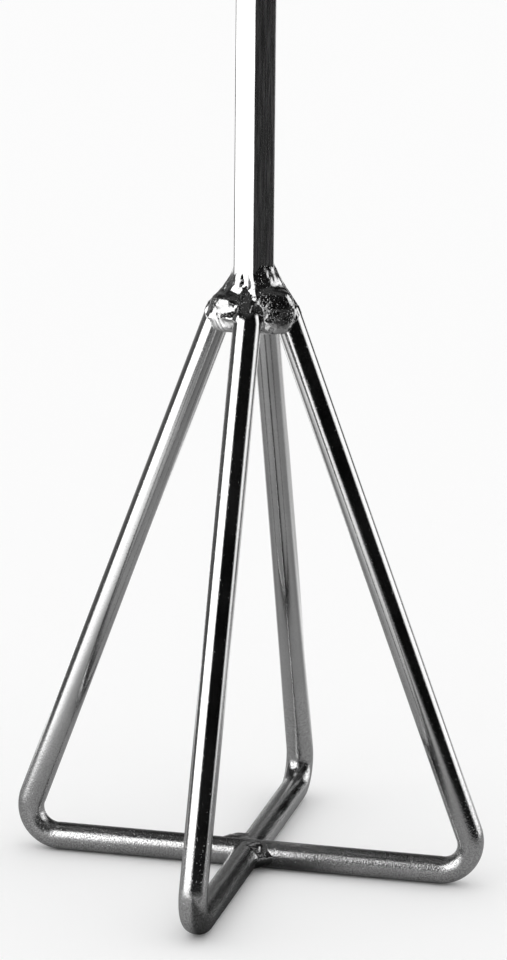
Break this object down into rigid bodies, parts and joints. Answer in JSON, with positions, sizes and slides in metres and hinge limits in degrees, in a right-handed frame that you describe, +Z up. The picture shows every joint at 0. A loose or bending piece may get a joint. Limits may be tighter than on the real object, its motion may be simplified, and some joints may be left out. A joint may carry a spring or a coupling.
{
  "type": "mortar mixing paddle",
  "caption": "Mixing paddle for mortar: a hexagonal drive shaft welded to an open, four-legged cage of bent round rod on a cross-shaped base.",
  "frame": {"origin": "on the floor below the shaft's axis, at the centre of the base cross", "axes": "+Z up along the shaft; +X along the base bar of the whole loop; +Y along the far half loop"},
  "size_m": [0.138, 0.138, 0.7112],
  "materials": {
    "shaft_steel": "cold-drawn hexagonal bar, bright plated, fine lengthwise grain",
    "rod_steel": "bright-plated round rod, polished, with fine pits and scuffs",
    "weld_metal": "lumpy weld bead, bright plated over, pitted"
  },
  "bodies": {
    "root": {"hex_shaft": "shaft_steel", "through_loop": "rod_steel", "near_half_loop": "rod_steel", "far_half_loop": "rod_steel", "left_leg_weld": "weld_metal", "right_leg_weld": "weld_metal", "near_leg_weld": "weld_metal", "far_leg_weld": "weld_metal", "near_cross_weld": "weld_metal", "far_cross_weld": "weld_metal"}
  },
  "joints": []
}
